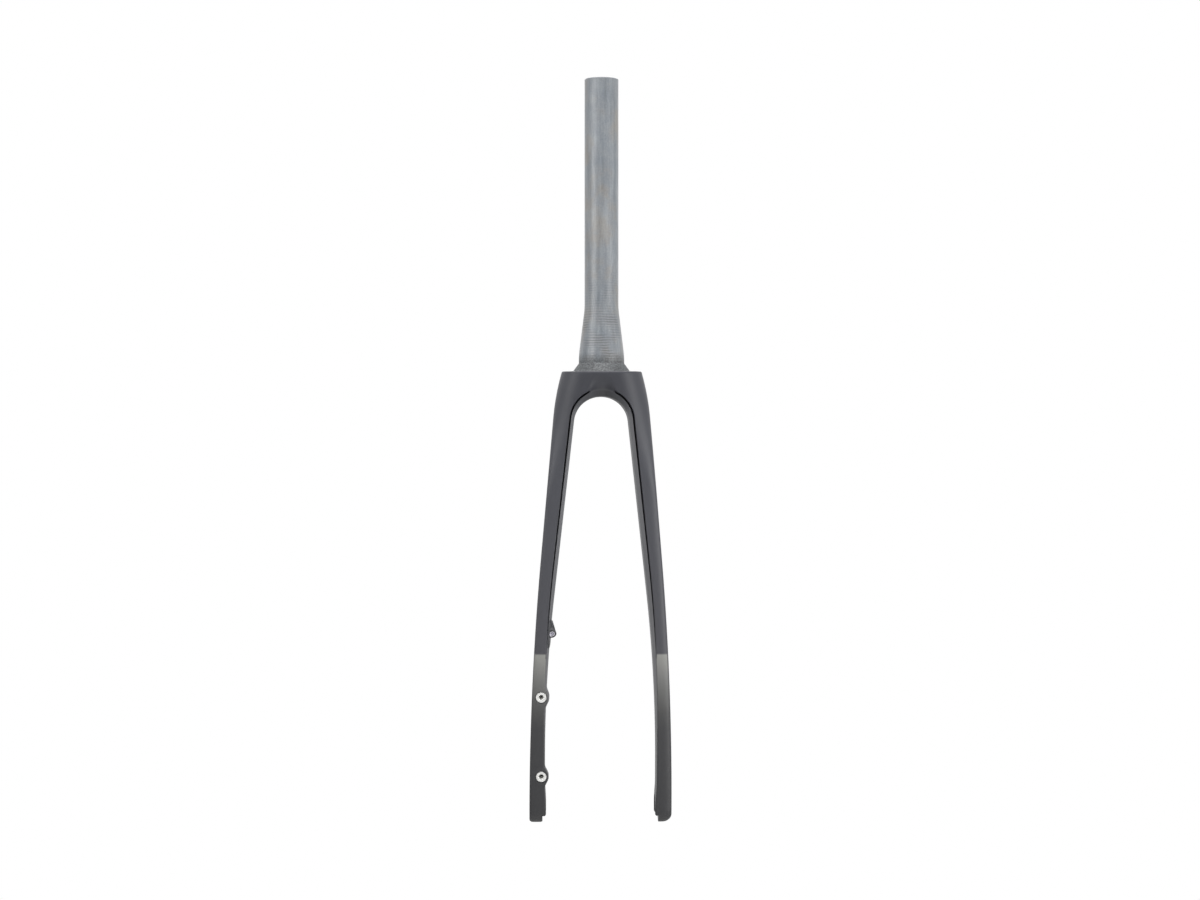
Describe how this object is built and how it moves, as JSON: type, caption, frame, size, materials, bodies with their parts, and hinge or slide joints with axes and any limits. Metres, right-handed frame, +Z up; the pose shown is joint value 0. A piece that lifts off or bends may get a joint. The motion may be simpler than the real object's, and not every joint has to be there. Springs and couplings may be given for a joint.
{
  "type": "rigid bicycle fork",
  "caption": "Rigid carbon fork for a disc brake wheel, with a tapered steerer, an arched crown, swept blades, flat brake mount inserts and through axle dropouts.",
  "frame": {"origin": "on the steerer axis, in the crown's top plane, where the lower headset bearing's race sits", "axes": "+Z up the steerer, +Y forward (the way the bicycle rolls), +X to the rider's right"},
  "size_m": [0.1224, 0.0867, 0.6349],
  "materials": {
    "raw_carbon": "bare moulded carbon fibre, satin",
    "painted_carbon": "grey paint on carbon fibre that fades to near black at the dropouts",
    "insert_metal": "machined",
    "guide_plastic": "moulded"
  },
  "bodies": {
    "root": {"steerer_tube": "raw_carbon", "crown_and_blades": "painted_carbon", "brake_insert_upper": "insert_metal", "brake_insert_lower": "insert_metal", "axle_thread_insert": "insert_metal", "hose_exit_guide": "guide_plastic", "hose_entry_grommet": "guide_plastic"}
  },
  "joints": []
}
